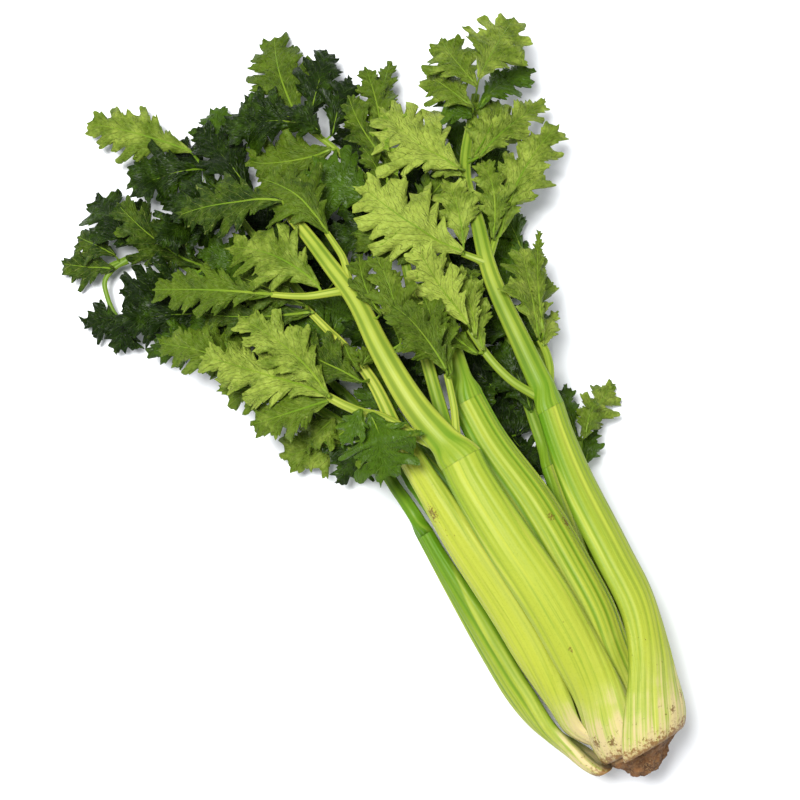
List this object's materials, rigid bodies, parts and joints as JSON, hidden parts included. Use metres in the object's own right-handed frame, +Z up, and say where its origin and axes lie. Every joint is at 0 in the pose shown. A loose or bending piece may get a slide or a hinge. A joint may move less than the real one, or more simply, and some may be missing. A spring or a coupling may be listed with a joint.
{
  "type": "head of celery",
  "caption": "Head of celery lying on its side: ribbed pale green stalks nested round a cut root crown, with leafy tops fanned out.",
  "frame": {"origin": "middle of the footprint of the whole head, on the surface that it lies on", "axes": "+Y from the butt to the leaf tips, along the head; +Z up, away from the surface that it lies on; +X to the right seen with the butt nearest"},
  "size_m": [0.2712, 0.4302, 0.0807],
  "materials": {
    "crown": "rough brown root crown, dry and corky, with soil in its hollows",
    "stalk": "smooth moist ribbed celery stalk, white at its foot and pale green above",
    "leaf": "veined celery leaf, glossy dark green above and matt pale olive beneath"
  },
  "bodies": {
    "root": {"crown": "crown", "leaf_f": "leaf", "stalk_f": "stalk", "leaf_g": "leaf", "stalk_g": "stalk", "leaf_h": "leaf", "stalk_h": "stalk", "leaf_k": "leaf", "stalk_k": "stalk", "leaf_l": "leaf", "stalk_l": "stalk", "leaf_j": "leaf", "stalk_j": "stalk", "leaf_i": "leaf", "stalk_i": "stalk", "leaf_a": "leaf", "stalk_a": "stalk", "leaf_d": "leaf", "stalk_d": "stalk", "leaf_b": "leaf", "stalk_b": "stalk", "leaf_e": "leaf", "stalk_e": "stalk", "leaf_c": "leaf", "stalk_c": "stalk"}
  },
  "joints": []
}
